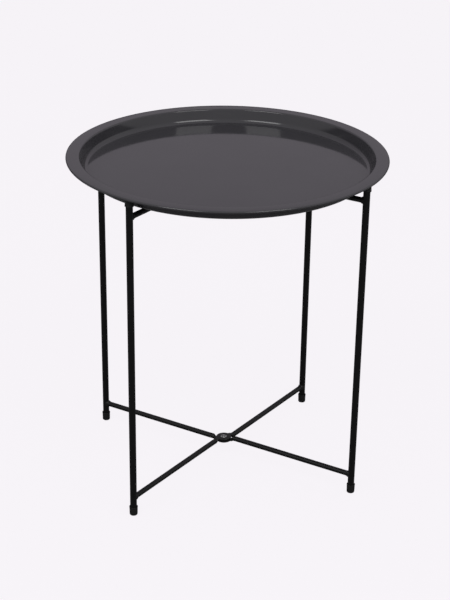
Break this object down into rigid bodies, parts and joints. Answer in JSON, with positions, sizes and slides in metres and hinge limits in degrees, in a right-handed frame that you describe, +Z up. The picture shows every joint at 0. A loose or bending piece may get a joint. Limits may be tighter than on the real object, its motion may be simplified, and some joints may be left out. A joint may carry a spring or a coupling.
{
  "type": "folding tray table",
  "caption": "Round metal tray with a shallow well that lifts off a folding stand: two welded tube frames riveted together at their crossing bars.",
  "frame": {"origin": "on the floor under the centre of the table, on the axis of the two pivot rivets", "axes": "+Z up along the fold axis; -Y towards the front, midway between the two front legs; +X to the right seen from the front"},
  "size_m": [0.47, 0.47, 0.504],
  "materials": {
    "tray_paint": "semi-gloss anthracite paint",
    "frame_paint": "satin black powder coat",
    "weld_paint": "satin black powder coat over a rippled weld bead",
    "cap_plastic": "moulded black polyethylene, fine matte",
    "rivet_steel": "black-coated steel, worn bright round the head",
    "washer_nylon": "black nylon"
  },
  "bodies": {
    "frame_a": {"leg_front_left": "frame_paint", "leg_back_right": "frame_paint", "foot_cap_front_left": "cap_plastic", "foot_cap_back_right": "cap_plastic", "top_cap_front_left": "cap_plastic", "top_cap_back_right": "cap_plastic", "frame_a_lower_crossbar": "frame_paint", "frame_a_upper_crossbar": "frame_paint", "lower_weld_front_left": "weld_paint", "upper_weld_front_left": "weld_paint", "lower_weld_back_right": "weld_paint", "upper_weld_back_right": "weld_paint", "lower_pivot_rivet": "rivet_steel", "upper_pivot_rivet": "rivet_steel", "lower_pivot_washer": "washer_nylon", "upper_pivot_washer": "washer_nylon"},
    "frame_b": {"leg_front_right": "frame_paint", "leg_back_left": "frame_paint", "foot_cap_front_right": "cap_plastic", "foot_cap_back_left": "cap_plastic", "top_cap_front_right": "cap_plastic", "top_cap_back_left": "cap_plastic", "frame_b_lower_crossbar": "frame_paint", "frame_b_upper_crossbar": "frame_paint", "lower_weld_front_right": "weld_paint", "upper_weld_front_right": "weld_paint", "lower_weld_back_left": "weld_paint", "upper_weld_back_left": "weld_paint"},
    "tray": {"tray": "tray_paint"}
  },
  "joints": [
    {"name": "fold", "type": "hinge", "parent": "frame_a", "child": "frame_b", "pos_m": [0, 0, 0.02955], "axis": [0, 0, -1], "range_deg": [-6, 93.8]},
    {"name": "tray_lift", "type": "slide", "parent": "frame_a", "child": "tray", "axis": [0, 0, 1], "range_m": [0, 0.1]}
  ]
}
